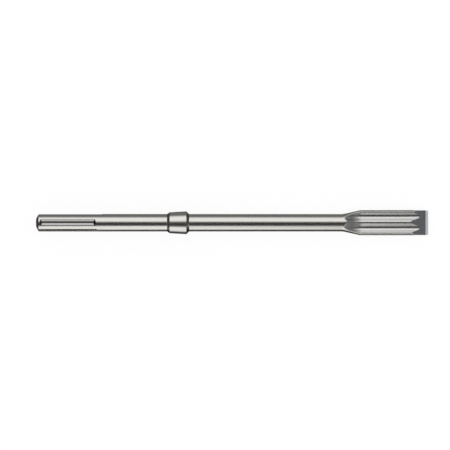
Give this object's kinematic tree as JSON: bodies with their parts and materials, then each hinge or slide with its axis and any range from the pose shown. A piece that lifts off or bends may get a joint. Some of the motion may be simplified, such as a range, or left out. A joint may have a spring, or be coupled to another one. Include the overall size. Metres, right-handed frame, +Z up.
{
  "type": "flat chisel for a rotary hammer",
  "caption": "Flat chisel for a large rotary hammer: slotted round shank with closed locking recesses, tapered collar, round bar and a fluted blade with a ground edge.",
  "frame": {"origin": "on the surface the tool lies on, under the middle of its whole length", "axes": "+X along the tool from the butt to the cutting edge, nose down by 0.95 degrees as it rests, +Y across the blade, +Z up"},
  "size_m": [0.4, 0.0256, 0.0234],
  "materials": {
    "steel": "satin ground tool steel, with a matt forged ramp and a finely ground bevel"
  },
  "bodies": {
    "root": {"chisel": "steel"}
  },
  "joints": []
}
